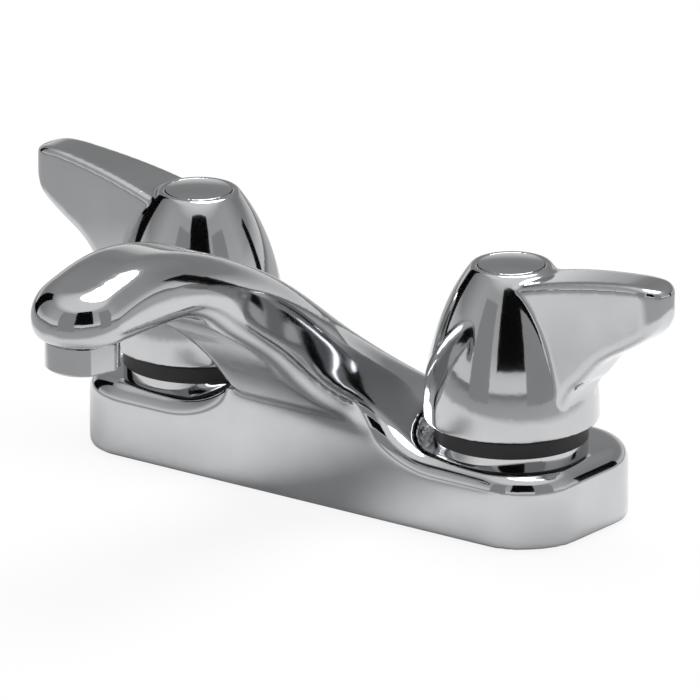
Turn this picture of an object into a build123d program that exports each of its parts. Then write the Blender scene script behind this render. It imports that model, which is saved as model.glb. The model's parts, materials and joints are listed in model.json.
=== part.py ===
from build123d import *
import os
from math import sqrt

# Centerset bathroom faucet with two wing handles, drawn closed, in millimetres.
# Origin: on the gasket face that lies on the sink deck, midway between the handle axes.
# +X points to the cold handle, -Y points forward over the basin, +Z is up.

# Deck plate of the casting
handle_spacing = 101.6
base_overhang = 26.4
base_depth = 51.6
base_rim_z = 0.4
deck_z = 20.5
base_corner_radius = 17.5
base_edge_radius = 5.0
base_set_back = 1.3
base_wall = 3.2
deck_thickness = 3.6

# Neck and spout of the casting, reaches are measured forward of the handle axes
flare_radius = 28.0
spout_half_width = 16.0
front_wall_top_z = 22.0
arch_foot_reach = 30.0
arch_foot_z = 29.5
arch_mid_reach = 52.0
arch_mid_z = 48.5
arch_rise_reach = 72.0
arch_rise_z = 62.5
arch_end_reach = 92.0
taper_start_reach = 60.0
nose_radius = 13.4
nose_reach = 116.0
nose_bottom_z = 70.8
nose_top_z = 83.5
nose_top_slope = 0.25
crown_reach = 101.0
crown_z = 89.0
back_reach = 51.0
back_z = 73.3
shoulder_reach = 20.4
shoulder_z = 52.0
neck_slope = 0.78
neck_back = 24.0
ridge_radius = 9.0
bell_gap = 1.2

# Waterways
inlet_bore_radius = 6.0
seat_port_radius = 4.0
side_port_radius = 4.0
side_port_z = 13.2
rib_width = 14.0
rib_bottom_z = 6.4
spout_bore_radius = 4.6
spout_bore_bend = 12.0
spout_bore_rise_z = 22.0
spout_bore_knee = (46.0, 57.0)
spout_bore_shoulder = (84.0, 76.5)
spout_bore_overrun = 3.0

# Valve hubs that stand on the deck plate
hub_radius = 15.5
hub_height = 10.5
valve_bore_radius = 11.0
valve_floor_z = 7.0
shank_socket_depth = 4.6
boss_radius = 15.5

# Inlet shanks and the parts that clamp the faucet to the sink
shank_radius = 10.4
shank_length_below_deck = 52.0
shank_chamfer = 1.0
relief_top_z = -32.0
relief_length = 2.0
relief_depth = 0.6
sink_deck_thickness = 19.0
gasket_thickness = 2.2
shank_washer_radius = 17.0
shank_washer_thickness = 2.0
locknut_across_flats = 30.0
locknut_height = 7.0
locknut_flange_radius = 17.0
locknut_flange_height = 2.0

# Trim collar under each bell
collar_radius = 20.0
collar_height = 6.8
collar_edge = 0.8

# Cartridge
housing_flange_radius = 13.5
housing_flange_thickness = 2.5
housing_barrel_radius = 9.3
housing_barrel_height = 8.5
housing_cavity_radius = 8.3
housing_cavity_height = 15.0
housing_foot_height = 3.5
gallery_radius = 9.4
gallery_height = 9.5
window_height = 4.0
window_width = 8.0
body_ring_height = 18.0
body_ring_radius = 0.9
seal_thickness = 1.6
seal_bore_radius = 4.5
disc_radius = 8.22
disc_thickness = 2.4
disc_port_radius = 4.5
disc_port_width = 3.4
disc_port_sweep = 50.0
retaining_nut_radius = 18.2
retaining_nut_lip = 2.4
nut_slots = 6
nut_slot_width = 4.0
nut_slot_depth = 1.2

# Stem
stem_radius = 4.5
carrier_height = 3.8
tongue_width = 5.0
tongue_height = 4.6
spline_length = 10.0
spline_sides = 16
stem_top_z = 56.0
stem_ring_z = 34.0
stem_ring_radius = 0.7
clip_thickness = 0.8
clip_radius = 6.4
clip_groove_depth = 0.9
clip_opening = 4.6

# Bell of each handle
bell_bottom_z = 27.9
bell_bottom_radius = 22.9
bell_skirt_z = 36.0
bell_skirt_radius = 22.7
bell_waist_z = 50.0
bell_waist_radius = 20.0
bell_shoulder_z = 61.0
bell_shoulder_radius = 15.8
bell_top_z = 69.6
bell_top_radius = 10.4
bell_wall = 2.3
bell_cavity_top_z = 55.0
handle_boss_radius = 8.6
socket_bottom_z = 47.0

# Wing of each handle, its outlines are pairs of reach from the handle axis and height
wing_reach = 51.2
wing_top = ((0.0, 65.0), (10.0, 67.9), (24.0, 71.0), (38.0, 73.0), (46.0, 73.3), (51.2, 72.0))
wing_tip_low_z = 67.0
wing_keel = ((48.5, 61.5), (43.7, 57.3), (38.0, 53.8), (32.4, 50.0), (27.0, 43.8), (20.4, 33.0))
wing_tip_radius = 6.0
wing_root_reach = 9.0
wing_root_half_width = 9.6
wing_edge_radius = 1.8
wing_keel_radius = 2.5
wing_root_fillet = 1.2

# Handle screw and index button
screw_radius = 2.0
screw_tip_z = 47.5
screw_seat_z = 59.5
screw_head_radius = 3.6
screw_head_height = 2.6
screw_drive_radius = 1.5
screw_drive_depth = 1.6
button_radius = 8.7
button_thickness = 2.4
button_dome = 0.7
button_plug_length = 3.0

# Aerator
aerator_length = 7.4
aerator_radius = 9.8
aerator_flat_width = 18.2
aerator_flat_turn = 72.0
aerator_thread_height = 3.6
aerator_bore_radius = 7.6
aerator_lip_radius = 6.8
aerator_lip_thickness = 0.8
aerator_edge = 0.6
aerator_socket_radius = 9.3
aerator_seal_thickness = 1.4
insert_height = 6.0
insert_hole_radius = 0.9
insert_outer_ring = 4.7
insert_outer_holes = 10
insert_inner_ring = 2.1
insert_inner_holes = 5
screen_thickness = 0.6
screen_hole_radius = 0.75
screen_pitch = 1.35
screen_rows = 5

# Clearances
thread_gap = 0.05
running_gap = 0.06
disc_gap = 0.05
drop_gap = 0.3
loose_gap = 0.1
cutter_overrun = 20.0

base_length = handle_spacing + 2 * base_overhang
base_front = base_depth / 2 - base_set_back
base_back = base_depth / 2 + base_set_back
handle_x = handle_spacing / 2
flare_foot = spout_half_width + flare_radius
flare_centre_z = deck_z + flare_radius
nose_front = nose_reach + nose_radius
clear_height = crown_z + cutter_overrun
hub_top_z = deck_z + hub_height
collar_top_z = deck_z + collar_height
flange_top_z = hub_top_z + housing_flange_thickness
barrel_top_z = flange_top_z + housing_barrel_height
cavity_top_z = valve_floor_z + housing_cavity_height
lower_disc_z = valve_floor_z + seal_thickness
upper_disc_z = lower_disc_z + disc_thickness + disc_gap
tongue_z = upper_disc_z + disc_thickness
carrier_z = tongue_z + tongue_height
clip_z = barrel_top_z + drop_gap
body_ring_z = valve_floor_z + body_ring_height
aerator_bottom_z = nose_bottom_z - aerator_length
aerator_thread_top_z = nose_bottom_z + aerator_thread_height
aerator_socket_top_z = aerator_thread_top_z + aerator_seal_thickness
relief_bottom_z = relief_top_z - relief_length
shank_top_z = base_rim_z + shank_socket_depth
button_bottom_z = bell_top_z - button_thickness
sides = (("hot", -1), ("cold", 1))
low = (Align.CENTER, Align.CENTER, Align.MIN)
os.makedirs("parts", exist_ok=True)


def save(piece, name):
    piece.part.label = name
    export_step(piece.part, f"parts/{name}.step")


def upright(side, height=0.0):
    """Vertical drawing plane through a handle axis, its x pointing outward."""
    return Plane(origin=(side * handle_x, 0, height), x_dir=(side, 0, 0), z_dir=(0, -side, 0))


def level(side, height):
    """Horizontal drawing plane on a handle axis, its x pointing outward."""
    return Plane(origin=(side * handle_x, 0, height), x_dir=(side, 0, 0), z_dir=(0, 0, 1))


def handle_axis(side):
    return Axis((side * handle_x, 0, 0), (0, 0, 1))


def outward(shape, side):
    """Distance of a shape's centre from its handle axis, towards the wing's tip."""
    return side * shape.center().X - handle_x


def bell_radius(height):
    """Straight line between the named points of the bell's profile."""
    points = (
        (bell_bottom_z, bell_bottom_radius),
        (bell_skirt_z, bell_skirt_radius),
        (bell_waist_z, bell_waist_radius),
        (bell_shoulder_z, bell_shoulder_radius),
        (bell_top_z, bell_top_radius),
    )
    for (z0, r0), (z1, r1) in zip(points, points[1:]):
        if height <= z1:
            return r0 + (r1 - r0) * (height - z0) / (z1 - z0)
    return bell_top_radius


def base_outline(inset=0.0):
    """Plan outline of the base, drawn in the current sketch, moved in from its outer wall."""
    with Locations((0, base_set_back)):
        RectangleRounded(base_length - 2 * inset, base_depth - 2 * inset, base_corner_radius - inset)


# Neck and spout: side profile, front contour and plan outline cut each other
with BuildPart() as neck:
    with BuildSketch(Plane.YZ):
        with BuildLine():
            Line((-base_front, valve_floor_z), (-base_front, front_wall_top_z))
            Spline(
                (-base_front, front_wall_top_z),
                (-arch_foot_reach, arch_foot_z),
                (-arch_mid_reach, arch_mid_z),
                (-arch_rise_reach, arch_rise_z),
                (-arch_end_reach, nose_bottom_z),
                tangents=((0, 1), (-1, 0)),
            )
            Line((-arch_end_reach, nose_bottom_z), (-nose_front, nose_bottom_z))
            Line((-nose_front, nose_bottom_z), (-nose_front, nose_top_z))
            Spline(
                (-nose_front, nose_top_z),
                (-crown_reach, crown_z),
                (-back_reach, back_z),
                (-shoulder_reach, shoulder_z),
                tangents=((1, nose_top_slope), (1, -neck_slope)),
            )
            slope_end_z = shoulder_z - neck_slope * (shoulder_reach + neck_back)
            Line((-shoulder_reach, shoulder_z), (neck_back, slope_end_z))
            Line((neck_back, slope_end_z), (neck_back, valve_floor_z))
            Line((neck_back, valve_floor_z), (-base_front, valve_floor_z))
        make_face()
    extrude(amount=base_length / 2, both=True)
    with BuildSketch(Plane.XZ):
        with BuildLine():
            flare_mid = flare_radius * sqrt(0.5)
            ThreePointArc(
                (flare_foot, deck_z),
                (flare_foot - flare_mid, flare_centre_z - flare_mid),
                (spout_half_width, flare_centre_z),
            )
            Line((spout_half_width, flare_centre_z), (spout_half_width, clear_height))
            Line((spout_half_width, clear_height), (0, clear_height))
            Line((0, clear_height), (0, 0))
            Line((0, 0), (flare_foot, 0))
            Line((flare_foot, 0), (flare_foot, deck_z))
        make_face()
        mirror(about=Plane.YZ)
    extrude(amount=nose_front, both=True, mode=Mode.INTERSECT)
    with BuildSketch(Plane.XY):
        with BuildLine():
            Spline(
                (spout_half_width, -taper_start_reach),
                (nose_radius, -nose_reach),
                tangents=((0, -1), (0, -1)),
            )
            RadiusArc((nose_radius, -nose_reach), (0, -nose_front), nose_radius)
            Line((0, -nose_front), (0, base_depth))
            Line((0, base_depth), (base_length / 2, base_depth))
            Line((base_length / 2, base_depth), (base_length / 2, -taper_start_reach))
            Line((base_length / 2, -taper_start_reach), (spout_half_width, -taper_start_reach))
        make_face()
        mirror(about=Plane.YZ)
    extrude(amount=clear_height, mode=Mode.INTERSECT)
    ridge_edges = [
        edge
        for edge in neck.edges().filter_by_position(Axis.Z, deck_z, clear_height)
        if edge.geom_type == GeomType.ELLIPSE
    ]
    fillet(ridge_edges, radius=ridge_radius)

# Cast body: deck plate, valve hubs, neck, spout and the waterways inside them
with BuildPart() as spout_body:
    with BuildSketch(Plane.XY.offset(base_rim_z)):
        base_outline()
    extrude(amount=deck_z - base_rim_z)
    add(neck.part)
    rim_edges = [
        edge
        for edge in spout_body.edges().filter_by_position(Axis.Z, deck_z - 0.01, deck_z + 0.01)
        if edge.center().Y < 0.01 - base_front
        or edge.center().Y > base_back - 0.01
        or abs(edge.center().X) > handle_x
    ]
    fillet(rim_edges, radius=base_edge_radius)
    with Locations((-handle_x, 0, deck_z), (handle_x, 0, deck_z)):
        Cylinder(bell_bottom_radius + bell_gap, clear_height, align=low, mode=Mode.SUBTRACT)
    with Locations((-handle_x, 0, deck_z - deck_thickness), (handle_x, 0, deck_z - deck_thickness)):
        Cylinder(hub_radius, deck_thickness + hub_height, align=low)
    with BuildSketch(Plane.XY.offset(base_rim_z)):
        base_outline(base_wall)
        with Locations((-handle_x, 0), (handle_x, 0)):
            Circle(boss_radius, mode=Mode.SUBTRACT)
    extrude(amount=rib_bottom_z - base_rim_z, mode=Mode.SUBTRACT)
    with BuildSketch(Plane.XY.offset(rib_bottom_z)):
        base_outline(base_wall)
        with Locations((-handle_x, 0), (handle_x, 0)):
            Circle(boss_radius, mode=Mode.SUBTRACT)
        Rectangle(handle_spacing, rib_width, mode=Mode.SUBTRACT)
    extrude(amount=deck_z - deck_thickness - rib_bottom_z, mode=Mode.SUBTRACT)
    with Locations((-handle_x, 0, base_rim_z), (handle_x, 0, base_rim_z)):
        Cylinder(shank_radius + thread_gap, shank_socket_depth, align=low, mode=Mode.SUBTRACT)
        Cylinder(seat_port_radius, valve_floor_z, align=low, mode=Mode.SUBTRACT)
    with Locations((-handle_x, 0, valve_floor_z), (handle_x, 0, valve_floor_z)):
        Cylinder(valve_bore_radius, hub_top_z, align=low, mode=Mode.SUBTRACT)
    with BuildSketch(Plane.YZ):
        with Locations((0, side_port_z)):
            Circle(side_port_radius)
    extrude(amount=handle_x - valve_bore_radius / 2, both=True, mode=Mode.SUBTRACT)
    with BuildLine(Plane.YZ) as bore_path:
        FilletPolyline(
            (0, side_port_z),
            (0, spout_bore_rise_z),
            (-spout_bore_knee[0], spout_bore_knee[1]),
            (-spout_bore_shoulder[0], spout_bore_shoulder[1]),
            (-nose_reach - spout_bore_overrun, spout_bore_shoulder[1]),
            radius=(spout_bore_bend / 2, spout_bore_bend, spout_bore_bend),
        )
    with BuildSketch(Plane.XY.offset(side_port_z)):
        Circle(spout_bore_radius)
    sweep(path=bore_path.wires()[0], mode=Mode.SUBTRACT)
    with Locations((0, -nose_reach, nose_bottom_z)):
        Cylinder(
            aerator_socket_radius, aerator_socket_top_z - nose_bottom_z, align=low, mode=Mode.SUBTRACT
        )
save(spout_body, "spout_body")

# Gasket in the hollow underside, round both inlet bosses
with BuildPart() as deck_gasket:
    with BuildSketch():
        base_outline(base_wall + drop_gap)
        with Locations((-handle_x, 0), (handle_x, 0)):
            Circle(boss_radius + drop_gap, mode=Mode.SUBTRACT)
    extrude(amount=gasket_thickness)
save(deck_gasket, "deck_gasket")


def make_inlet_shank(side):
    """Threaded supply tube that screws up into the boss."""
    with BuildPart() as inlet_shank:
        with BuildSketch(upright(side)):
            with BuildLine():
                Polyline(
                    (inlet_bore_radius, shank_top_z),
                    (shank_radius, shank_top_z),
                    (shank_radius, relief_top_z),
                    (shank_radius - relief_depth, relief_top_z),
                    (shank_radius - relief_depth, relief_bottom_z),
                    (shank_radius, relief_bottom_z),
                    (shank_radius, shank_chamfer - shank_length_below_deck),
                    (shank_radius - shank_chamfer, -shank_length_below_deck),
                    (inlet_bore_radius, -shank_length_below_deck),
                    close=True,
                )
            make_face()
        revolve(axis=handle_axis(side))
    return inlet_shank


def make_shank_washer(side):
    with BuildPart() as shank_washer:
        with BuildSketch(level(side, -sink_deck_thickness - shank_washer_thickness)):
            Circle(shank_washer_radius)
            Circle(shank_radius + drop_gap, mode=Mode.SUBTRACT)
        extrude(amount=shank_washer_thickness)
    return shank_washer


def make_locknut(side):
    """Flanged hexagon nut under the washer."""
    flange_z = -sink_deck_thickness - shank_washer_thickness - locknut_flange_height
    with BuildPart() as locknut:
        with BuildSketch(level(side, flange_z)):
            Circle(locknut_flange_radius)
        extrude(amount=locknut_flange_height)
        with BuildSketch(level(side, flange_z)):
            RegularPolygon(locknut_across_flats / 2, 6, major_radius=False)
        extrude(amount=-locknut_height)
        with Locations((side * handle_x, 0, flange_z - locknut_height)):
            Cylinder(
                shank_radius + thread_gap,
                locknut_height + locknut_flange_height,
                align=low,
                mode=Mode.SUBTRACT,
            )
    return locknut


def make_trim_collar(side):
    with BuildPart() as trim_collar:
        with BuildSketch(level(side, deck_z)):
            Circle(collar_radius)
            Circle(hub_radius + loose_gap, mode=Mode.SUBTRACT)
        extrude(amount=collar_height)
        fillet(trim_collar.edges().group_by(Axis.Z)[-1].sort_by(SortBy.LENGTH)[-1], radius=collar_edge)
    return trim_collar


def make_seat_seal(side):
    with BuildPart() as seat_seal:
        with BuildSketch(level(side, valve_floor_z)):
            Circle(disc_radius)
            Circle(seal_bore_radius, mode=Mode.SUBTRACT)
        extrude(amount=seal_thickness)
    return seat_seal


def make_ceramic_disc(side, bottom_z, port_angle):
    """Disc with two curved ports, the ports of the two discs cross when the tap is closed."""
    with BuildPart() as ceramic_disc:
        with BuildSketch(level(side, bottom_z)):
            Circle(disc_radius)
            for start in (port_angle, port_angle + 180):
                SlotArc(
                    CenterArc((0, 0), disc_port_radius, start - disc_port_sweep / 2, disc_port_sweep),
                    disc_port_width,
                    mode=Mode.SUBTRACT,
                )
        extrude(amount=disc_thickness)
    return ceramic_disc


def make_cartridge_housing(side):
    """Brass housing: foot, water gallery, seal land, flange and barrel."""
    foot_z = valve_floor_z + housing_foot_height
    gallery_top_z = foot_z + gallery_height
    land_radius = valve_bore_radius - thread_gap
    with BuildPart() as cartridge_housing:
        with BuildSketch(upright(side)):
            with BuildLine():
                Polyline(
                    (housing_cavity_radius, valve_floor_z),
                    (land_radius, valve_floor_z),
                    (land_radius, foot_z),
                    (gallery_radius, foot_z),
                    (gallery_radius, gallery_top_z),
                    (land_radius, gallery_top_z),
                    (land_radius, hub_top_z),
                    (housing_flange_radius, hub_top_z),
                    (housing_flange_radius, flange_top_z),
                    (housing_barrel_radius, flange_top_z),
                    (housing_barrel_radius, barrel_top_z),
                    (stem_radius + running_gap, barrel_top_z),
                    (stem_radius + running_gap, cavity_top_z),
                    (housing_cavity_radius, cavity_top_z),
                    close=True,
                )
            make_face()
            with Locations((valve_bore_radius - body_ring_radius, body_ring_z)):
                Rectangle(2 * body_ring_radius, 2 * body_ring_radius, mode=Mode.SUBTRACT)
        revolve(axis=handle_axis(side))
        with Locations((side * handle_x, 0, tongue_z)):
            Box(2 * valve_bore_radius, window_width, window_height, align=low, mode=Mode.SUBTRACT)
    return cartridge_housing


def make_housing_ring(side):
    """O-ring between the housing and the valve bore."""
    with BuildPart() as housing_ring:
        with Locations((side * handle_x, 0, body_ring_z)):
            Torus(valve_bore_radius - body_ring_radius, body_ring_radius)
    return housing_ring


def make_retaining_nut(side):
    """Slotted ring nut that clamps the housing flange and the collar."""
    with BuildPart() as retaining_nut:
        with BuildSketch(upright(side)):
            with BuildLine():
                Polyline(
                    (hub_radius + thread_gap, collar_top_z),
                    (retaining_nut_radius, collar_top_z),
                    (retaining_nut_radius, flange_top_z + retaining_nut_lip),
                    (housing_barrel_radius + loose_gap, flange_top_z + retaining_nut_lip),
                    (housing_barrel_radius + loose_gap, flange_top_z),
                    (hub_radius + thread_gap, flange_top_z),
                    close=True,
                )
            make_face()
        revolve(axis=handle_axis(side))
        with BuildSketch(level(side, collar_top_z)):
            with PolarLocations(retaining_nut_radius, nut_slots):
                Rectangle(2 * nut_slot_depth, nut_slot_width)
        extrude(amount=hub_top_z - collar_top_z + housing_flange_thickness, mode=Mode.SUBTRACT)
    return retaining_nut


def make_stem(side):
    """Stem: drive tongue, carrier, seal land, splined top and the screw hole."""
    ring_groove_radius = stem_radius - 2 * stem_ring_radius
    clip_groove_radius = stem_radius - clip_groove_depth
    spline_z = stem_top_z - spline_length
    with BuildPart() as stem:
        with BuildSketch(level(side, tongue_z)):
            Circle(disc_radius)
            Rectangle(2 * disc_radius, tongue_width, mode=Mode.INTERSECT)
        extrude(amount=tongue_height)
        with Locations((side * handle_x, 0, carrier_z)):
            Cylinder(disc_radius, carrier_height, align=low)
        with Locations((side * handle_x, 0, carrier_z)):
            Cylinder(stem_radius, spline_z - carrier_z, align=low)
        with BuildSketch(level(side, spline_z)):
            RegularPolygon(stem_radius, spline_sides)
        extrude(amount=spline_length)
        with BuildSketch(level(side, stem_ring_z - stem_ring_radius)):
            Circle(2 * stem_radius)
            Circle(ring_groove_radius, mode=Mode.SUBTRACT)
        extrude(amount=2 * stem_ring_radius, mode=Mode.SUBTRACT)
        with BuildSketch(level(side, clip_z)):
            Circle(2 * stem_radius)
            Circle(clip_groove_radius, mode=Mode.SUBTRACT)
        extrude(amount=clip_thickness, mode=Mode.SUBTRACT)
        with BuildSketch(level(side, screw_tip_z)):
            Circle(screw_radius + thread_gap)
        extrude(amount=stem_top_z - screw_tip_z, mode=Mode.SUBTRACT)
    return stem


def make_stem_ring(side):
    """O-ring in the stem's groove."""
    with BuildPart() as stem_ring:
        with Locations((side * handle_x, 0, stem_ring_z)):
            Torus(stem_radius - stem_ring_radius, stem_ring_radius)
    return stem_ring


def make_stem_clip(side):
    """Open ring that keeps the stem in the housing."""
    with BuildPart() as stem_clip:
        with BuildSketch(level(side, clip_z)):
            Circle(clip_radius)
            Circle(stem_radius - clip_groove_depth, mode=Mode.SUBTRACT)
            with Locations((-clip_radius / 2, 0)):
                Rectangle(clip_radius, clip_opening, mode=Mode.SUBTRACT)
        extrude(amount=clip_thickness)
    return stem_clip


def make_wing(side):
    """Wing: side profile cut by a plan outline that tapers to a round tip."""
    tip_centre = wing_reach - wing_tip_radius
    with BuildPart() as wing:
        with BuildSketch(upright(side)):
            with BuildLine():
                Spline(*wing_top)
                Line(wing_top[-1], (wing_reach, wing_tip_low_z))
                Spline((wing_reach, wing_tip_low_z), *wing_keel, tangents=((-0.3, -1), (-0.4, -1)))
                Line(wing_keel[-1], (0, wing_keel[-1][1]))
                Line((0, wing_keel[-1][1]), wing_top[0])
            make_face()
        extrude(amount=bell_bottom_radius, both=True)
        with BuildSketch(level(side, 0)):
            with BuildLine():
                Line((0, wing_root_half_width), (wing_root_reach, wing_root_half_width))
                Spline(
                    (wing_root_reach, wing_root_half_width),
                    (tip_centre, wing_tip_radius),
                    tangents=((1, -0.1), (1, -0.06)),
                )
                RadiusArc((tip_centre, wing_tip_radius), (wing_reach, 0), wing_tip_radius)
                Line((wing_reach, 0), (0, 0))
                Line((0, 0), (0, wing_root_half_width))
            make_face()
            mirror(about=Plane.XZ)
        extrude(amount=clear_height, mode=Mode.INTERSECT)
        long_edges = [edge for edge in wing.edges() if edge.length > wing_tip_radius]
        top_edges = [
            edge
            for edge in long_edges
            if edge.center().Z > wing_tip_low_z and outward(edge, side) > wing_root_reach
        ]
        fillet([edge for edge in top_edges if abs(edge.center().Y) > 1], radius=wing_edge_radius)
        keel_edges = [
            edge
            for edge in wing.edges()
            if edge.center().Z < wing_tip_low_z
            and edge.geom_type == GeomType.BSPLINE
            and outward(edge, side) > bell_bottom_radius
            and abs(edge.center().Y) > 1
        ]
        fillet(keel_edges, radius=wing_keel_radius)
    return wing


def make_handle(side):
    """Handle: bell and wing in one casting, hollow under the bell."""
    wing = make_wing(side)
    with BuildPart() as handle:
        with BuildSketch(upright(side)):
            with BuildLine():
                Spline(
                    (bell_bottom_radius, bell_bottom_z),
                    (bell_skirt_radius, bell_skirt_z),
                    (bell_waist_radius, bell_waist_z),
                    (bell_shoulder_radius, bell_shoulder_z),
                    (bell_top_radius, bell_top_z),
                )
                Line((bell_top_radius, bell_top_z), (0, bell_top_z))
                Line((0, bell_top_z), (0, bell_bottom_z))
                Line((0, bell_bottom_z), (bell_bottom_radius, bell_bottom_z))
            make_face()
        revolve(axis=handle_axis(side))
        add(wing.part)
        root_edges = [
            edge
            for edge in handle.edges()
            if edge.length > 2 * wing_root_half_width
            and wing_root_reach < outward(edge, side) < bell_bottom_radius
            and wing_tip_radius < abs(edge.center().Y) < wing_root_half_width
        ]
        fillet(root_edges, radius=wing_root_fillet)
        with BuildSketch(upright(side)):
            with BuildLine():
                Spline(
                    (bell_bottom_radius - bell_wall, bell_bottom_z),
                    (bell_skirt_radius - bell_wall, bell_skirt_z),
                    (bell_waist_radius - bell_wall, bell_waist_z),
                    (bell_radius(bell_cavity_top_z) - bell_wall, bell_cavity_top_z),
                )
                Line(
                    (bell_radius(bell_cavity_top_z) - bell_wall, bell_cavity_top_z),
                    (handle_boss_radius, bell_cavity_top_z),
                )
                Line((handle_boss_radius, bell_cavity_top_z), (handle_boss_radius, socket_bottom_z))
                Line((handle_boss_radius, socket_bottom_z), (0, socket_bottom_z))
                Line((0, socket_bottom_z), (0, bell_bottom_z))
                Line((0, bell_bottom_z), (bell_bottom_radius - bell_wall, bell_bottom_z))
            make_face()
        revolve(axis=handle_axis(side), mode=Mode.SUBTRACT)
        with BuildSketch(level(side, socket_bottom_z)):
            RegularPolygon(stem_radius + running_gap, spline_sides)
        extrude(amount=stem_top_z + drop_gap - socket_bottom_z, mode=Mode.SUBTRACT)
        with Locations((side * handle_x, 0, stem_top_z)):
            Cylinder(
                screw_radius + loose_gap, screw_seat_z - stem_top_z, align=low, mode=Mode.SUBTRACT
            )
        with Locations((side * handle_x, 0, screw_seat_z)):
            Cylinder(
                screw_head_radius + loose_gap, bell_top_z - screw_seat_z, align=low, mode=Mode.SUBTRACT
            )
        with Locations((side * handle_x, 0, button_bottom_z)):
            Cylinder(button_radius + thread_gap, button_thickness, align=low, mode=Mode.SUBTRACT)
    return handle


def make_handle_screw(side):
    """Socket head screw that holds the handle on the stem."""
    with BuildPart() as handle_screw:
        with Locations((side * handle_x, 0, screw_tip_z)):
            Cylinder(screw_radius, screw_seat_z - screw_tip_z, align=low)
        with Locations((side * handle_x, 0, screw_seat_z)):
            Cylinder(screw_head_radius, screw_head_height, align=low)
        with BuildSketch(level(side, screw_seat_z + screw_head_height)):
            RegularPolygon(screw_drive_radius, 6)
        extrude(amount=-screw_drive_depth, mode=Mode.SUBTRACT)
    return handle_screw


def make_index_button(side):
    """Domed cap that hides the screw."""
    plug_radius = screw_head_radius + loose_gap - thread_gap
    with BuildPart() as index_button:
        with BuildSketch(upright(side)):
            with BuildLine():
                TangentArc(
                    (0, bell_top_z + button_dome), (button_radius, bell_top_z), tangent=(1, 0)
                )
                Polyline(
                    (0, bell_top_z + button_dome),
                    (0, button_bottom_z - button_plug_length),
                    (plug_radius, button_bottom_z - button_plug_length),
                    (plug_radius, button_bottom_z),
                    (button_radius, button_bottom_z),
                    (button_radius, bell_top_z),
                )
            make_face()
        revolve(axis=handle_axis(side))
    return index_button


for water, side in sides:
    save(make_inlet_shank(side), f"{water}_inlet_shank")
    save(make_shank_washer(side), f"{water}_shank_washer")
    save(make_locknut(side), f"{water}_locknut")
    save(make_trim_collar(side), f"{water}_trim_collar")
    save(make_seat_seal(side), f"{water}_seat_seal")
    save(make_ceramic_disc(side, lower_disc_z, 0), f"{water}_lower_disc")
    save(make_ceramic_disc(side, upper_disc_z, 90), f"{water}_upper_disc")
    save(make_cartridge_housing(side), f"{water}_cartridge_housing")
    save(make_housing_ring(side), f"{water}_housing_ring")
    save(make_retaining_nut(side), f"{water}_retaining_nut")
    save(make_stem(side), f"{water}_stem")
    save(make_stem_ring(side), f"{water}_stem_ring")
    save(make_stem_clip(side), f"{water}_stem_clip")
    save(make_handle(side), f"{water}_handle")
    save(make_handle_screw(side), f"{water}_handle_screw")
    save(make_index_button(side), f"{water}_index_button")

# Aerator: threaded shell with two spanner flats, seal, plastic insert and screen
with BuildPart() as aerator_housing:
    with BuildSketch(Plane.XY.offset(aerator_bottom_z)):
        with Locations((0, -nose_reach)):
            Circle(aerator_radius)
            Rectangle(2 * aerator_radius, aerator_flat_width, aerator_flat_turn, mode=Mode.INTERSECT)
    extrude(amount=aerator_length)
    chamfer(aerator_housing.edges().group_by(Axis.Z)[0], length=aerator_edge)
    with Locations((0, -nose_reach, nose_bottom_z)):
        Cylinder(aerator_socket_radius - thread_gap, aerator_thread_height, align=low)
    with Locations((0, -nose_reach, aerator_bottom_z)):
        Cylinder(aerator_lip_radius, aerator_length, align=low, mode=Mode.SUBTRACT)
    with Locations((0, -nose_reach, aerator_bottom_z + aerator_lip_thickness)):
        Cylinder(aerator_bore_radius, aerator_length * 2, align=low, mode=Mode.SUBTRACT)
save(aerator_housing, "aerator_housing")

with BuildPart() as aerator_seal:
    with BuildSketch(Plane.XY.offset(aerator_thread_top_z)):
        with Locations((0, -nose_reach)):
            Circle(aerator_socket_radius - thread_gap)
            Circle(aerator_lip_radius, mode=Mode.SUBTRACT)
    extrude(amount=aerator_seal_thickness)
save(aerator_seal, "aerator_seal")

with BuildPart() as aerator_screen:
    with BuildSketch(Plane.XY.offset(aerator_bottom_z + aerator_lip_thickness)):
        with Locations((0, -nose_reach)):
            Circle(aerator_bore_radius - thread_gap)
            with HexLocations(screen_pitch, screen_rows, screen_rows):
                Circle(screen_hole_radius, mode=Mode.SUBTRACT)
    extrude(amount=screen_thickness)
save(aerator_screen, "aerator_screen")

with BuildPart() as aerator_insert:
    with BuildSketch(Plane.XY.offset(aerator_bottom_z + aerator_lip_thickness + screen_thickness)):
        with Locations((0, -nose_reach)):
            Circle(aerator_bore_radius - thread_gap)
            with PolarLocations(insert_outer_ring, insert_outer_holes):
                Circle(insert_hole_radius, mode=Mode.SUBTRACT)
            with PolarLocations(insert_inner_ring, insert_inner_holes):
                Circle(insert_hole_radius, mode=Mode.SUBTRACT)
    extrude(amount=insert_height)
save(aerator_insert, "aerator_insert")
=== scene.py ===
import json
from math import cos, radians, sin, tan, tau

import bmesh
import bpy
from bpy.props import FloatProperty, FloatVectorProperty, IntProperty, PointerProperty
from mathutils import Matrix, Vector


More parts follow.
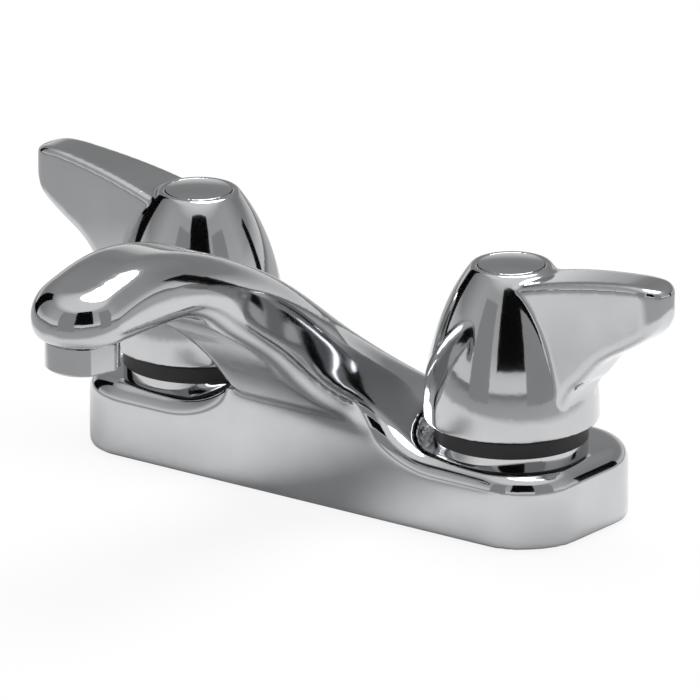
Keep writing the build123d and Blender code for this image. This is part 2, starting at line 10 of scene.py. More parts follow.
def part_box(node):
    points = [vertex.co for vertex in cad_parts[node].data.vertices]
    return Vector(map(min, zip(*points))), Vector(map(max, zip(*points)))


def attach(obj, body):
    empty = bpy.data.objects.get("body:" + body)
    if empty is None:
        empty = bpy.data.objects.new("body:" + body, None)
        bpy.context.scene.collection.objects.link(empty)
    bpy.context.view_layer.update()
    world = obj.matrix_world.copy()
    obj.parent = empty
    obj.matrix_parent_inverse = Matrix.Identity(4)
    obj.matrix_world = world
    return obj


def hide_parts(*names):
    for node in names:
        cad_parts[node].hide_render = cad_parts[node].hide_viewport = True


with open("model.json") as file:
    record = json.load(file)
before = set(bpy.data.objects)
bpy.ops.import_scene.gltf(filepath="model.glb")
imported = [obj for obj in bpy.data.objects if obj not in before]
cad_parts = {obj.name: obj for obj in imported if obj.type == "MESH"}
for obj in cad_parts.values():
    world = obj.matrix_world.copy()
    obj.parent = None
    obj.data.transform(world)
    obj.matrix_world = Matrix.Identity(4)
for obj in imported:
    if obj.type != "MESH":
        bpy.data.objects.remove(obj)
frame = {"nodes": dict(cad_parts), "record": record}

bl_info = {
    "name": "Centerset faucet",
    "version": (1, 0, 0),
    "blender": (4, 5, 0),
    "location": "View3D > Sidebar > Faucet",
    "description": "Finishes, threaded shanks and a plain studio for a centerset bathroom faucet",
    "category": "Object",
}

MM = 0.001
SIDES = ("hot", "cold")
BUFFED = ("spout_body", "hot_handle", "cold_handle")
SLOT_OF = {part["node"]: part["material_slot"] for part in frame["record"]["subparts"]}

# A CAD node is loose triangles: this gap joins them, and corners sharper than this angle stay
WELD_GAP = 0.01 * MM
SHARP_CORNER = radians(34)

# Half the width of a thread's crest and of its root, as a share of the pitch
THREAD_HALF_FLAT = 0.06
THREAD_CORNER = 0.4
MERGE_GAP = 0.001 * MM

# Where the photograph was taken from, worked out from the outline of the casting and the wings
CAMERA_AZIMUTH = radians(37.04)
CAMERA_ELEVATION = radians(18.97)
CAMERA_ROLL = radians(-0.22)
CAMERA_DISTANCE = 7.5955
CAMERA_SHIFT_RIGHT = -1.25 * MM
CAMERA_SHIFT_UP = 33.62 * MM
CAMERA_LENS = 1500.0
CAMERA_SENSOR = 36.0
CAMERA_CLIP_START = 0.5
CAMERA_CLIP_END = 100.0

# Cards that only the plating sees: name, turn from the camera's azimuth, lowest and highest
# elevation and half width in degrees, distance in metres and tone
CARDS = (
    ("card_behind_camera", 0, 10, 50, 20, 2.0, "dark"),
    ("card_right", 104, 0.2, 22, 5, 2.0, "dark"),
    ("card_left", -130, 0.2, 45, 11, 2.0, "dark"),
    ("panel_right", 37, 0.5, 42, 14, 0.42, "grey"),
    ("panel_left", -37, 0.5, 42, 14, 0.42, "grey"),
)

# Tones of the two walls that the plating sees, by elevation in degrees
NEAR_WALL = (
    (0, "f6f6f6"), (6, "f0f0f0"), (14, "cccccc"), (44, "c0c0c0"), (54, "ffffff"), (90, "ffffff"),
)
FAR_WALL = (
    (0, "f4f4f4"), (6, "dcdcdc"), (15, "9c9c9c"), (26, "989898"), (46, "acacac"), (58, "f0f0f0"),
    (90, "ffffff"),
)
# The walls blend between these cosines of the angle to the camera's azimuth
FAR_WALL_ENDS = -0.35
NEAR_WALL_STARTS = 0.25
# Share of the walls' light that falls on matt pieces and on the floor
WALL_LIGHT = 0.5

SWEEP_HALF_SIZE = 40.0
# The painted pool of light on the floor reaches its edge tone at this many pool radii
PAINTED_POOL_FALLOFF = 1.25
# How much of the floor glows evenly white for the camera and for mirrored rays
CAMERA_GLOW = 0.9
MIRROR_GLOW = 0.06

SOFT_BOX_PLACE = (0.05, 0.3, 1.28)
SOFT_BOX_DIAMETER = 1.0


def linear(hex_colour):
    """The linear colour of an sRGB hex value, by the curve of that standard."""
    values = []
    for start in (0, 2, 4):
        value = int(hex_colour[start:start + 2], 16) / 255
        values.append(value / 12.92 if value <= 0.04045 else ((value + 0.055) / 1.055) ** 2.4)
    return (*values, 1.0)


class FaucetSizes(bpy.types.PropertyGroup):
    """Sizes of the pieces that are modelled here."""

    body_skin: FloatProperty(
        name="Body skin", description="Size of a face of the body's buffed skin",
        default=0.88 * MM, unit="LENGTH",
    )
    body_passes: IntProperty(
        name="Body buffing", description="Passes that ease the body's edges", default=12, min=0,
    )
    handle_skin: FloatProperty(
        name="Handle skin", description="Size of a face of the handles' buffed skin",
        default=0.5 * MM, unit="LENGTH",
    )
    handle_passes: IntProperty(
        name="Handle buffing", description="Passes that ease the handles' edges",
        default=8, min=0,
    )
    # The black band above this plated foot is painted shade under the bell
    collar_foot: FloatProperty(
        name="Collar foot", description="Height of the plated foot below the black band",
        default=2.2 * MM, unit="LENGTH",
    )
    shank_radius: FloatProperty(
        name="Shank radius", description="Outer radius over the thread crests",
        default=10.4 * MM, unit="LENGTH",
    )
    shank_bore: FloatProperty(
        name="Shank bore", description="Radius of the waterway through the shank",
        default=6.0 * MM, unit="LENGTH",
    )
    thread_pitch: FloatProperty(
        name="Thread pitch", description="Height from crest to crest, 14 threads to the inch",
        default=1.814 * MM, unit="LENGTH",
    )
    thread_depth: FloatProperty(
        name="Thread depth", description="Crest to root of the thread",
        default=0.9 * MM, unit="LENGTH",
    )
    shank_segments: IntProperty(
        name="Shank segments", description="Faces round the shank", default=64, min=12,
    )


class FaucetColours(bpy.types.PropertyGroup):
    """Colours of the finishes, as linear values."""

    chrome: FloatVectorProperty(
        name="Chrome", description="Reflected colour of the plating",
        subtype="COLOR", size=4, default=linear("c2c3c5"),
    )
    brass: FloatVectorProperty(
        name="Brass", description="Colour of the turned valve parts and shanks",
        subtype="COLOR", size=4, default=linear("d0a95e"),
    )
    zinc: FloatVectorProperty(
        name="Zinc plate", description="Colour of the nuts and washers",
        subtype="COLOR", size=4, default=linear("b9bbc0"),
    )
    steel: FloatVectorProperty(
        name="Stainless steel", description="Colour of the screen, clips and handle screws",
        subtype="COLOR", size=4, default=linear("c4c3c0"),
    )
    # Also the colour of the collars' band, which is painted shade under the bells
    rubber: FloatVectorProperty(
        name="Rubber", description="Colour of the seals, the gasket and the collars' band",
        subtype="COLOR", size=4, default=linear("1b1b1c"),
    )
    ceramic: FloatVectorProperty(
        name="Alumina", description="Colour of the lapped discs",
        subtype="COLOR", size=4, default=linear("ece9df"),
    )
    acetal: FloatVectorProperty(
        name="Acetal", description="Colour of the moulded aerator insert",
        subtype="COLOR", size=4, default=linear("e3e2dc"),
    )


class FaucetStudio(bpy.types.PropertyGroup):
    """Levels of the floor, the lamp and the cards that the plating reflects."""

    floor_colour: FloatVectorProperty(
        name="Floor", description="Colour of the sweep that the faucet stands on",
        subtype="COLOR", size=4, default=linear("f4f4f4"),
    )
    # The pool of light is painted into the floor's colour for reflections, not cast by the lamp
    painted_pool_radius: FloatProperty(
        name="Pool of light", description="Radius of the evenly lit floor round the faucet",
        default=0.19, unit="LENGTH",
    )
    painted_pool_edge_tone: FloatProperty(
        name="Floor past the pool", description="Share of the floor's tone that reflections keep",
        default=0.52, min=0.0, max=1.0,
    )
    lamp_power: FloatProperty(
        name="Lamp", description="Power of the soft box overhead", default=17.0, min=0.0,
    )
    card_colour: FloatVectorProperty(
        name="Dark cards", description="Colour of the cards that put dark bands in the plating",
        subtype="COLOR", size=4, default=linear("0c0c0c"),
    )
    grey_colour: FloatVectorProperty(
        name="Grey cards", description="Colour of the cards that put soft panels in the bells",
        subtype="COLOR", size=4, default=linear("a2a2a2"),
    )


def add_node(tree, kind, settings=None, inputs=None, links=None):
    """Adds a node, sets its properties and sockets, and links other nodes' sockets to it."""
    node = tree.nodes.new(kind)
    for name, value in (settings or {}).items():
        setattr(node, name, value)
    for name, value in (inputs or {}).items():
        node.inputs[name].default_value = value
    for name, socket in (links or {}).items():
        tree.links.new(socket, node.inputs[name])
    return node


def new_material(name, **shader_values):
    """A material with one Principled shader, its tree and the shader node."""
    material = bpy.data.materials.new(name)
    material.use_nodes = True
    tree = material.node_tree
    shader = tree.nodes["Principled BSDF"]
    for socket, value in shader_values.items():
        shader.inputs[socket.replace("_", " ")].default_value = value
    return material, tree, shader


def shade(colour, amount):
    """A colour made lighter or darker, its alpha kept."""
    return (*(channel * amount for channel in colour[:3]), 1.0)


def set_stops(ramp, stops):
    """Gives a colour ramp its stops, pairs of place and colour."""
    elements = ramp.color_ramp.elements
    while len(elements) < len(stops):
        elements.new(1.0)
    for element, (place, colour) in zip(elements, stops):
        element.position = place
        element.color = colour


def polished_chrome(colour):
    """Bright chromium plate on a buffed casting.

    The plate is a mirror. The buffing leaves it very slightly wavy, and wiping leaves a faint
    haze, so reflections have soft edges and the tone drifts a little.
    """
    material, tree, shader = new_material("polished_chrome", Metallic=1.0)
    place = add_node(tree, "ShaderNodeTexCoord")
    # Wiping haze in patches of about 12 mm
    haze = add_node(
        tree, "ShaderNodeTexNoise", inputs={"Scale": 1 / (12 * MM), "Detail": 3.0},
        links={"Vector": place.outputs["Object"]},
    )
    tone = add_node(tree, "ShaderNodeValToRGB", links={"Fac": haze.outputs["Fac"]})
    set_stops(tone, ((0.3, shade(colour, 0.96)), (0.7, shade(colour, 1.03))))
    tree.links.new(tone.outputs["Color"], shader.inputs["Base Color"])
    gloss = add_node(
        tree, "ShaderNodeMapRange", inputs={"To Min": 0.055, "To Max": 0.095},
        links={"Value": haze.outputs["Fac"]},
    )
    tree.links.new(gloss.outputs["Result"], shader.inputs["Roughness"])
    # Buffing waves about 14 mm long and a few thousandths high
    buffing = add_node(
        tree, "ShaderNodeTexNoise", inputs={"Scale": 1 / (14 * MM), "Detail": 1.0},
        links={"Vector": place.outputs["Object"]},
    )
    wave = add_node(
        tree, "ShaderNodeBump", inputs={"Strength": 0.15, "Distance": 0.05 * MM},
        links={"Height": buffing.outputs["Fac"]},
    )
    tree.links.new(wave.outputs["Normal"], shader.inputs["Normal"])
    return material


def turned_brass(colour):
    """Free-cutting brass turned on a lathe: warm, with fine rings round the axis."""
    material, tree, shader = new_material("turned_brass", Metallic=1.0)
    place = add_node(tree, "ShaderNodeTexCoord")
    # The tool leaves a ring every 0.15 mm, drawn at 0.4 mm so that it shows. Across the axis
    # the pattern changes 60 times a metre, so that a ring keeps its tone all the way round
    across, along = 60.0, 1 / (0.4 * MM)
    stretch = add_node(
        tree, "ShaderNodeMapping", inputs={"Scale": (across, across, along)},
        links={"Vector": place.outputs["Object"]},
    )
    rings = add_node(
        tree, "ShaderNodeTexNoise", inputs={"Scale": 1.0, "Detail": 2.0},
        links={"Vector": stretch.outputs["Vector"]},
    )
    tarnish = add_node(
        tree, "ShaderNodeTexNoise", inputs={"Scale": 1 / (7 * MM), "Detail": 4.0},
        links={"Vector": place.outputs["Object"]},
    )
    tone = add_node(tree, "ShaderNodeValToRGB", links={"Fac": tarnish.outputs["Fac"]})
    set_stops(tone, ((0.3, shade(colour, 0.72)), (0.65, colour)))
    tree.links.new(tone.outputs["Color"], shader.inputs["Base Color"])
    gloss = add_node(
        tree, "ShaderNodeMapRange", inputs={"To Min": 0.2, "To Max": 0.36},
        links={"Value": rings.outputs["Fac"]},
    )
    tree.links.new(gloss.outputs["Result"], shader.inputs["Roughness"])
    bump = add_node(
        tree, "ShaderNodeBump", inputs={"Strength": 0.4, "Distance": 0.02 * MM},
        links={"Height": rings.outputs["Fac"]},
    )
    tree.links.new(bump.outputs["Normal"], shader.inputs["Normal"])
    return material


def zinc_plated_steel(colour):
    """Pressed steel with bright zinc plate: bluish grey, in cloudy crystals of about 2 mm."""
    material, tree, shader = new_material("zinc_plated_steel", Metallic=1.0)
    place = add_node(tree, "ShaderNodeTexCoord")
    crystals = add_node(
        tree, "ShaderNodeTexVoronoi", inputs={"Scale": 1 / (2 * MM)},
        links={"Vector": place.outputs["Object"]},
    )
    clouds = add_node(
        tree, "ShaderNodeTexNoise", inputs={"Scale": 1 / (5 * MM), "Detail": 3.0},
        links={"Vector": place.outputs["Object"]},
    )
    tone = add_node(tree, "ShaderNodeValToRGB", links={"Fac": clouds.outputs["Fac"]})
    set_stops(tone, ((0.3, shade(colour, 0.8)), (0.7, colour)))
    tree.links.new(tone.outputs["Color"], shader.inputs["Base Color"])
    gloss = add_node(
        tree, "ShaderNodeMapRange", inputs={"To Min": 0.26, "To Max": 0.42},
        links={"Value": crystals.outputs["Distance"]},
    )
    tree.links.new(gloss.outputs["Result"], shader.inputs["Roughness"])
    return material


def rolled_stainless_steel(colour):
    """Rolled stainless sheet and wire: a neutral grey with short streaks along the roll."""
    material, tree, shader = new_material("rolled_stainless_steel", Metallic=1.0)
    place = add_node(tree, "ShaderNodeTexCoord")
    # Streaks 0.2 mm wide and 4 mm long, wider than the real ones so that they show
    along, across = 1 / (4 * MM), 1 / (0.2 * MM)
    stretch = add_node(
        tree, "ShaderNodeMapping", inputs={"Scale": (along, across, across)},
        links={"Vector": place.outputs["Object"]},
    )
    streaks = add_node(
        tree, "ShaderNodeTexNoise", inputs={"Scale": 1.0, "Detail": 2.0},
        links={"Vector": stretch.outputs["Vector"]},
    )
    tone = add_node(tree, "ShaderNodeValToRGB", links={"Fac": streaks.outputs["Fac"]})
    set_stops(tone, ((0.3, shade(colour, 0.85)), (0.7, colour)))
    tree.links.new(tone.outputs["Color"], shader.inputs["Base Color"])
    gloss = add_node(
        tree, "ShaderNodeMapRange", inputs={"To Min": 0.22, "To Max": 0.34},
        links={"Value": streaks.outputs["Fac"]},
    )
    tree.links.new(gloss.outputs["Result"], shader.inputs["Roughness"])
    return material


def moulded_rubber(colour):
    """Moulded nitrile rubber: near black and dull, with a bloom and the mould's fine grain."""
    material, tree, shader = new_material("moulded_rubber", IOR=1.52)
    place = add_node(tree, "ShaderNodeTexCoord")
    bloom = add_node(
        tree, "ShaderNodeTexNoise", inputs={"Scale": 1 / (8 * MM), "Detail": 4.0},
        links={"Vector": place.outputs["Object"]},
    )
    tone = add_node(tree, "ShaderNodeValToRGB", links={"Fac": bloom.outputs["Fac"]})
    set_stops(tone, ((0.35, colour), (0.75, shade(colour, 1.7))))
    tree.links.new(tone.outputs["Color"], shader.inputs["Base Color"])
    gloss = add_node(
        tree, "ShaderNodeMapRange", inputs={"To Min": 0.55, "To Max": 0.72},
        links={"Value": bloom.outputs["Fac"]},
    )
    tree.links.new(gloss.outputs["Result"], shader.inputs["Roughness"])
    grain = add_node(
        tree, "ShaderNodeTexNoise", inputs={"Scale": 1 / (0.4 * MM), "Detail": 2.0},
        links={"Vector": place.outputs["Object"]},
    )
    bump = add_node(
        tree, "ShaderNodeBump", inputs={"Strength": 0.3, "Distance": 0.03 * MM},
        links={"Height": grain.outputs["Fac"]},
    )
    tree.links.new(bump.outputs["Normal"], shader.inputs["Normal"])
    return material


def collar_with_painted_shade_band(chrome, rubber, foot_top):
    """Plated trim ring whose upper part is painted matt black, as painted shade under the bell.

    The foot is a mirror like the casting. The black band is painted shade: it stands in for the
    shaded gap under the bell, and shows as a dark line there.
    """
    material, tree, shader = new_material("collar_with_painted_shade_band", IOR=1.52)
    place = add_node(tree, "ShaderNodeTexCoord")
    parts = add_node(
        tree, "ShaderNodeSeparateXYZ", links={"Vector": place.outputs["Object"]}
    )
    # Below foot_top the ring is plated chrome; above it the rubber colour is painted shade under
    # the bell
    plated = add_node(
        tree, "ShaderNodeMath", {"operation": "LESS_THAN"}, {1: foot_top},
        {0: parts.outputs["Z"]},
    )
    tree.links.new(plated.outputs["Value"], shader.inputs["Metallic"])
    tone = add_node(
        tree, "ShaderNodeMix", {"data_type": "RGBA"}, {"A": rubber, "B": chrome},
        {"Factor": plated.outputs["Value"]},
    )
    tree.links.new(tone.outputs["Result"], shader.inputs["Base Color"])
    gloss = add_node(
        tree, "ShaderNodeMapRange", inputs={"To Min": 0.6, "To Max": 0.08},
        links={"Value": plated.outputs["Value"]},
    )
    tree.links.new(gloss.outputs["Result"], shader.inputs["Roughness"])
    return material


def lapped_alumina(colour):
    """Fired alumina lapped flat: ivory white, smooth, with faint cloudy variation."""
    material, tree, shader = new_material("lapped_alumina", IOR=1.77)
    place = add_node(tree, "ShaderNodeTexCoord")
    clouds = add_node(
        tree, "ShaderNodeTexNoise", inputs={"Scale": 1 / (3 * MM), "Detail": 3.0},
        links={"Vector": place.outputs["Object"]},
    )
    tone = add_node(tree, "ShaderNodeValToRGB", links={"Fac": clouds.outputs["Fac"]})
    set_stops(tone, ((0.3, shade(colour, 0.93)), (0.7, colour)))
    tree.links.new(tone.outputs["Color"], shader.inputs["Base Color"])
    gloss = add_node(
        tree, "ShaderNodeMapRange", inputs={"To Min": 0.12, "To Max": 0.22},
        links={"Value": clouds.outputs["Fac"]},
    )
    tree.links.new(gloss.outputs["Result"], shader.inputs["Roughness"])
    return material


def moulded_acetal(colour):
    """Injection-moulded acetal: milky white with a waxy sheen and a fine spark texture."""
    material, tree, shader = new_material(
        "moulded_acetal", IOR=1.48, Subsurface_Weight=0.15, Subsurface_Scale=0.6 * MM
    )
    place = add_node(tree, "ShaderNodeTexCoord")
    spark = add_node(
        tree, "ShaderNodeTexNoise", inputs={"Scale": 1 / (0.5 * MM), "Detail": 2.0},
        links={"Vector": place.outputs["Object"]},
    )
    tone = add_node(tree, "ShaderNodeValToRGB", links={"Fac": spark.outputs["Fac"]})
    set_stops(tone, ((0.3, shade(colour, 0.95)), (0.7, colour)))
    tree.links.new(tone.outputs["Color"], shader.inputs["Base Color"])
    gloss = add_node(
        tree, "ShaderNodeMapRange", inputs={"To Min": 0.34, "To Max": 0.46},
        links={"Value": spark.outputs["Fac"]},
    )
    tree.links.new(gloss.outputs["Result"], shader.inputs["Roughness"])
    bump = add_node(
        tree, "ShaderNodeBump", inputs={"Strength": 0.2, "Distance": 0.02 * MM},
        links={"Height": spark.outputs["Fac"]},
    )
    tree.links.new(bump.outputs["Normal"], shader.inputs["Normal"])
    return material


def use_material(piece, material):
    """Makes a material the only one of a piece."""
    piece.data.materials.clear()
    piece.data.materials.append(material)


def weld_faces(piece):
    """Joins the loose triangles of a CAD node."""
    weld = piece.modifiers.new("weld", "WELD")
    weld.merge_threshold = WELD_GAP


def smooth_turned(piece):
    """Shades a CAD node smoothly, except across its sharp corners."""
    weld_faces(piece)
    split = piece.modifiers.new("split", "EDGE_SPLIT")
    split.split_angle = SHARP_CORNER
    split.use_edge_sharp = False


def buff_casting(piece, voxel, passes):
    """Covers a casting with a fine even skin, its edges eased as buffing before plating does."""
    weld_faces(piece)
    skin = piece.modifiers.new("skin", "REMESH")
    skin.mode = "VOXEL"
    skin.voxel_size = voxel
    skin.use_smooth_shade = True
    ease = piece.modifiers.new("ease", "SMOOTH")
    ease.factor = 0.5
    ease.iterations = passes


def finish_slot(slot, material):
    """Gives every CAD node of a material slot its finish, and smooth shading to all but the buffed
    castings, which get a skin elsewhere.
    """
    nodes = [name for name, named in SLOT_OF.items() if named == slot]
    if not nodes:
        raise RuntimeError(f"the frame has no node in the slot {slot}")
    for name in nodes:
        piece = frame["nodes"][name]
        if name not in BUFFED:
            smooth_turned(piece)
        use_material(piece, material)


def piece_from(mesh_data, name, smooth_angle=0.6):
    """An object made from a bmesh, its faces smooth up to an angle."""
    mesh = bpy.data.meshes.new(name)
    mesh_data.to_mesh(mesh)
    mesh_data.free()
    mesh.shade_smooth()
    mesh.set_sharp_from_angle(angle=smooth_angle)
    piece = bpy.data.objects.new(name, mesh)
    bpy.context.scene.collection.objects.link(piece)
    return piece


class FAUCET_OT_plating(bpy.types.Operator):
    """Gives the casting, handles, buttons and aerator shell their polished chrome."""

    bl_idname = "faucet.plating"
    bl_label = "Chrome plated pieces"

    def execute(self, context):
        sizes = context.scene.faucet_sizes
        finish_slot("chrome_plate", polished_chrome(context.scene.faucet_colours.chrome))
        buff_casting(frame["nodes"]["spout_body"], sizes.body_skin, sizes.body_passes)
        for water in SIDES:
            handle = frame["nodes"][f"{water}_handle"]
            buff_casting(handle, sizes.handle_skin, sizes.handle_passes)
        return {"FINISHED"}


class FAUCET_OT_valves(bpy.types.Operator):
    """Gives the cartridges, discs, seals, clips, nuts and trim collars their finishes."""

    bl_idname = "faucet.valves"
    bl_label = "Valve pieces"

    def execute(self, context):
        sizes = context.scene.faucet_sizes
        colours = context.scene.faucet_colours
        finish_slot("turned_brass", turned_brass(colours.brass))
        finish_slot("zinc_steel", zinc_plated_steel(colours.zinc))
        finish_slot("stainless_steel", rolled_stainless_steel(colours.steel))
        finish_slot("black_rubber", moulded_rubber(colours.rubber))
        finish_slot("alumina_ceramic", lapped_alumina(colours.ceramic))
        finish_slot("white_acetal", moulded_acetal(colours.acetal))
        # The collars get a plated foot and, above it, a black band of painted shade under the bell
        collar_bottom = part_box("hot_trim_collar")[0].z
        collar = collar_with_painted_shade_band(colours.chrome, colours.rubber, collar_bottom + sizes.collar_foot)
        for water in SIDES:
            use_material(frame["nodes"][f"{water}_trim_collar"], collar)
        return {"FINISHED"}


class FAUCET_OT_shanks(bpy.types.Operator):
    """Builds the two inlet shanks with their threads, in place of the plain ones."""

    bl_idname = "faucet.shanks"
    bl_label = "Threaded shanks"

    def execute(self, context):
        sizes = context.scene.faucet_sizes
        brass = bpy.data.materials.get("turned_brass")
        if brass is None:
            raise RuntimeError("the valve pieces have to be finished before the shanks")
        for water in SIDES:
            node = f"{water}_inlet_shank"
            low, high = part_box(node)
            axis = Vector(((low.x + high.x) / 2, (low.y + high.y) / 2, 0))
            crest, root = sizes.shank_radius, sizes.shank_radius - sizes.thread_depth
            half_flat = THREAD_HALF_FLAT * sizes.thread_pitch
            end_chamfer = MM
            profile = [
                (sizes.shank_bore, low.z),
                (crest - end_chamfer, low.z),
                (root, low.z + end_chamfer - sizes.thread_depth),
            ]
            # Each turn of the thread is a ring of its own
            z = low.z + end_chamfer
            while z + sizes.thread_pitch < high.z - end_chamfer:
                middle, end = z + sizes.thread_pitch / 2, z + sizes.thread_pitch
                profile += [
                    (crest, middle - half_flat), (crest, middle + half_flat),
                    (root, end - half_flat), (root, end + half_flat),
                ]
                z = end
            profile += [(root, high.z), (sizes.shank_bore, high.z)]
            shank = bmesh.new()
            points = [shank.verts.new((axis.x + r, axis.y, height)) for r, height in profile]
            edges = [
                shank.edges.new((points[index], points[(index + 1) % len(points)]))
                for index in range(len(points))
            ]
            bmesh.ops.spin(
                shank, geom=points + edges, cent=axis, axis=(0, 0, 1), angle=tau,
                steps=sizes.shank_segments, use_merge=True,
            )
            bmesh.ops.remove_doubles(shank, verts=shank.verts, dist=MERGE_GAP)
            bmesh.ops.recalc_face_normals(shank, faces=shank.faces)
            piece = piece_from(shank, f"{water}_threaded_shank", THREAD_CORNER)
            use_material(piece, brass)
            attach(piece, "root")
            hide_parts(node)
        return {"FINISHED"}


def card(name, azimuth, low, high, half_width, distance, material):
    """A flat card that stands round the faucet and is seen only in its reflections.

    The azimuth is measured as the camera's is. low, high and half_width are angles.
    """
    facing = Vector((sin(azimuth), -cos(azimuth), 0))
    side = Vector((cos(azimuth), sin(azimuth), 0))
    grid = bmesh.new()
    bmesh.ops.create_grid(grid, x_segments=1, y_segments=1, size=1.0)
    bottom, top = distance * tan(low), distance * tan(high)
    half = distance * tan(half_width)
    for corner in grid.verts:
        height = bottom + (top - bottom) * (corner.co.y + 1) / 2
        corner.co = facing * distance + side * corner.co.x * half + Vector((0, 0, height))
    piece = piece_from(grid, name)
    piece.visible_camera = False
    piece.visible_diffuse = False
    piece.visible_shadow = False
    piece.visible_transmission = False
    use_material(piece, material)


def empty_tree(owner):
    """The node tree of a material or a world, with nothing in it."""
    owner.use_nodes = True
    owner.node_tree.nodes.clear()
    return owner.node_tree


def glowing_card(name, colour):
    """Card seen in the plating at one even tone."""
    material = bpy.data.materials.new(name)
    tree = empty_tree(material)
    glow = add_node(tree, "ShaderNodeEmission", inputs={"Color": colour, "Strength": 1.0})
    add_node(tree, "ShaderNodeOutputMaterial", links={"Surface": glow.outputs["Emission"]})
    return material


def white_sweep(colour, painted_pool_radius, painted_edge_tone):
    """Matt white paper with a painted pool of light on it.

    The camera sees it white. The plating sees the faucet's soft shadow on it, and a painted pool
    of light:
    for mirrored rays its colour is painted darker, falling to grey past the edge of the pool.
    """
    material = bpy.data.materials.new("white_sweep")
    tree = empty_tree(material)
    rays = add_node(tree, "ShaderNodeLightPath")
    place = add_node(tree, "ShaderNodeTexCoord")
    reach = add_node(
        tree, "ShaderNodeVectorMath", {"operation": "LENGTH"},
        links={0: place.outputs["Object"]},
    )
    # Painted pool of light: for mirrored rays the floor's colour falls from full to the edge tone
    # past the pool's radius
    pool = add_node(
        tree, "ShaderNodeMapRange",
        inputs={
            "From Min": painted_pool_radius, "From Max": PAINTED_POOL_FALLOFF * painted_pool_radius,
            "To Min": 1.0, "To Max": painted_edge_tone,
        },
        links={"Value": reach.outputs["Value"]},
    )
    tone = add_node(
        tree, "ShaderNodeMix", {"data_type": "RGBA", "blend_type": "MULTIPLY"},
        {"A": colour},
        {"Factor": rays.outputs["Is Glossy Ray"], "B": pool.outputs["Result"]},
    )
    paper = add_node(tree, "ShaderNodeBsdfDiffuse", links={"Color": tone.outputs["Result"]})
    glow = add_node(tree, "ShaderNodeEmission", inputs={"Strength": 1.0})
    camera_share = add_node(
        tree, "ShaderNodeMath", {"operation": "MULTIPLY"}, {1: CAMERA_GLOW},
        {0: rays.outputs["Is Camera Ray"]},
    )
    mirror_rays = add_node(
        tree, "ShaderNodeMath", {"operation": "ADD"},
        links={0: rays.outputs["Is Glossy Ray"], 1: rays.outputs["Is Transmission Ray"]},
    )
    share = add_node(
        tree, "ShaderNodeMath", {"operation": "MULTIPLY_ADD", "use_clamp": True},
        {1: MIRROR_GLOW},
        {0: mirror_rays.outputs["Value"], 2: camera_share.outputs["Value"]},
    )
    mix = add_node(
        tree, "ShaderNodeMixShader",
        links={0: share.outputs["Value"], 1: paper.outputs["BSDF"], 2: glow.outputs["Emission"]},
    )
    add_node(tree, "ShaderNodeOutputMaterial", links={"Surface": mix.outputs["Shader"]})
    return material


def studio_world():
    """A studio that is white low down and overhead, with light grey walls, darker on the far side.

    The camera itself sees plain white.
    """
    world = bpy.data.worlds.new("studio")
    tree = empty_tree(world)
    rays = add_node(tree, "ShaderNodeLightPath")
    place = add_node(tree, "ShaderNodeTexCoord")
    parts = add_node(
        tree, "ShaderNodeSeparateXYZ", links={"Vector": place.outputs["Generated"]}
    )
    near_wall = add_node(tree, "ShaderNodeValToRGB", links={"Fac": parts.outputs["Z"]})
    far_wall = add_node(tree, "ShaderNodeValToRGB", links={"Fac": parts.outputs["Z"]})
    for wall, tones in ((near_wall, NEAR_WALL), (far_wall, FAR_WALL)):
        set_stops(wall, [(sin(radians(height)), linear(tone)) for height, tone in tones])
    along = add_node(
        tree, "ShaderNodeVectorMath", {"operation": "DOT_PRODUCT"},
        {1: (sin(CAMERA_AZIMUTH), -cos(CAMERA_AZIMUTH), 0.0)}, {0: place.outputs["Generated"]},
    )
    side = add_node(
        tree, "ShaderNodeMapRange",
        inputs={"From Min": FAR_WALL_ENDS, "From Max": NEAR_WALL_STARTS},
        links={"Value": along.outputs["Value"]},
    )
    walls = add_node(
        tree, "ShaderNodeMix", {"data_type": "RGBA"},
        links={
            "Factor": side.outputs["Result"],
            "A": far_wall.outputs["Color"],
            "B": near_wall.outputs["Color"],
        },
    )
    white = add_node(
        tree, "ShaderNodeMix", {"data_type": "RGBA"},
        {"B": (1.0, 1.0, 1.0, 1.0)},
        {"Factor": rays.outputs["Is Camera Ray"], "A": walls.outputs["Result"]},
    )
    level = add_node(
        tree, "ShaderNodeMapRange", inputs={"To Min": 1.0, "To Max": WALL_LIGHT},
        links={"Value": rays.outputs["Is Diffuse Ray"]},
    )
    back = add_node(
        tree, "ShaderNodeBackground",
        links={"Color": white.outputs["Result"], "Strength": level.outputs["Result"]},
    )
    add_node(tree, "ShaderNodeOutputWorld", links={"Surface": back.outputs["Background"]})
    return world


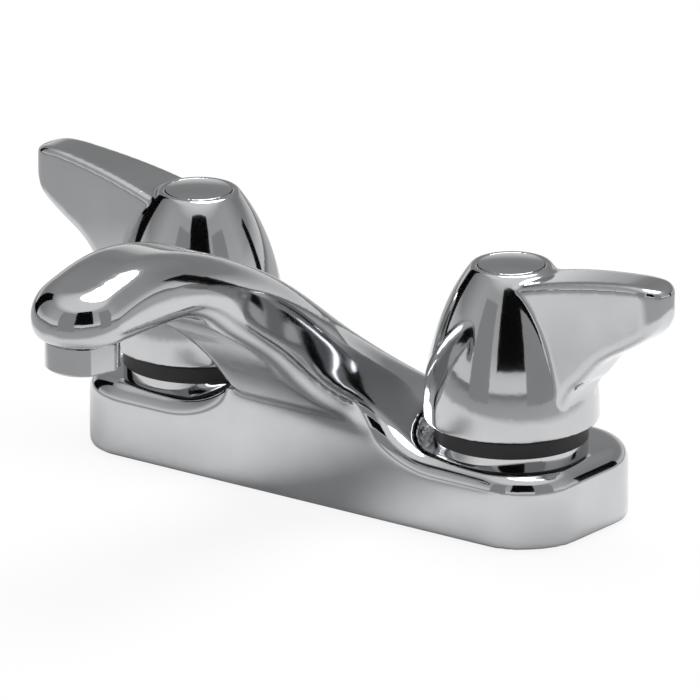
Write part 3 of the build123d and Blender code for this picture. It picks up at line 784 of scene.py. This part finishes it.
class FAUCET_OT_studio(bpy.types.Operator):
    """Sets the white sweep, soft box, reflected cards and the camera."""

    bl_idname = "faucet.studio"
    bl_label = "Studio"

    def execute(self, context):
        scene = context.scene
        settings = scene.faucet_studio

        sweep = bmesh.new()
        bmesh.ops.create_grid(sweep, x_segments=1, y_segments=1, size=SWEEP_HALF_SIZE)
        floor = piece_from(sweep, "white_sweep")
        use_material(
            floor,
            white_sweep(settings.floor_colour, settings.painted_pool_radius, settings.painted_pool_edge_tone),
        )

        tones = {
            "dark": glowing_card("dark_card", settings.card_colour),
            "grey": glowing_card("grey_card", settings.grey_colour),
        }
        for name, turn, low, high, half_width, distance, tone in CARDS:
            card(
                name, CAMERA_AZIMUTH + radians(turn), radians(low), radians(high),
                radians(half_width), distance, tones[tone],
            )

        soft_box = bpy.data.lights.new("soft_box", "AREA")
        soft_box.shape = "DISK"
        soft_box.size = SOFT_BOX_DIAMETER
        soft_box.energy = settings.lamp_power
        lamp = bpy.data.objects.new("soft_box", soft_box)
        lamp.location = Vector(SOFT_BOX_PLACE)
        lamp.rotation_euler = lamp.location.to_track_quat("Z", "Y").to_euler()
        scene.collection.objects.link(lamp)

        scene.world = studio_world()

        lens = bpy.data.cameras.new("photo_camera")
        lens.lens = CAMERA_LENS
        lens.sensor_width = CAMERA_SENSOR
        lens.clip_start = CAMERA_CLIP_START
        lens.clip_end = CAMERA_CLIP_END
        camera = bpy.data.objects.new("photo_camera", lens)
        scene.collection.objects.link(camera)
        back = Vector((
            sin(CAMERA_AZIMUTH) * cos(CAMERA_ELEVATION),
            -cos(CAMERA_AZIMUTH) * cos(CAMERA_ELEVATION),
            sin(CAMERA_ELEVATION),
        ))
        level = Vector((cos(CAMERA_AZIMUTH), sin(CAMERA_AZIMUTH), 0))
        upright = back.cross(level)
        target = level * CAMERA_SHIFT_RIGHT + upright * CAMERA_SHIFT_UP
        right = level * cos(CAMERA_ROLL) + upright * sin(CAMERA_ROLL)
        up = upright * cos(CAMERA_ROLL) - level * sin(CAMERA_ROLL)
        camera.matrix_world = (
            Matrix.Translation(target + back * CAMERA_DISTANCE)
            @ Matrix((right, up, back)).transposed().to_4x4()
        )
        scene.camera = camera
        scene.view_settings.view_transform = "Standard"
        return {"FINISHED"}


class FAUCET_PT_panel(bpy.types.Panel):
    """Lists the steps that dress the faucet."""

    bl_idname = "FAUCET_PT_panel"
    bl_label = "Centerset faucet"
    bl_space_type = "VIEW_3D"
    bl_region_type = "UI"
    bl_category = "Faucet"

    def draw(self, context):
        scene = context.scene
        for step in STEPS:
            self.layout.operator(step.bl_idname)
        for group in (scene.faucet_sizes, scene.faucet_colours, scene.faucet_studio):
            box = self.layout.box()
            for name in group.__annotations__:
                box.prop(group, name)


STEPS = (FAUCET_OT_plating, FAUCET_OT_valves, FAUCET_OT_shanks, FAUCET_OT_studio)
CLASSES = (FaucetSizes, FaucetColours, FaucetStudio, *STEPS, FAUCET_PT_panel)


def register():
    for kind in CLASSES:
        bpy.utils.register_class(kind)
    bpy.types.Scene.faucet_sizes = PointerProperty(type=FaucetSizes)
    bpy.types.Scene.faucet_colours = PointerProperty(type=FaucetColours)
    bpy.types.Scene.faucet_studio = PointerProperty(type=FaucetStudio)


def unregister():
    del bpy.types.Scene.faucet_studio
    del bpy.types.Scene.faucet_colours
    del bpy.types.Scene.faucet_sizes
    for kind in reversed(CLASSES):
        bpy.utils.unregister_class(kind)


def main():
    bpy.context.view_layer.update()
    register()
    bpy.ops.faucet.plating()
    bpy.ops.faucet.valves()
    bpy.ops.faucet.shanks()
    bpy.ops.faucet.studio()


if __name__ == "__main__":
    main()
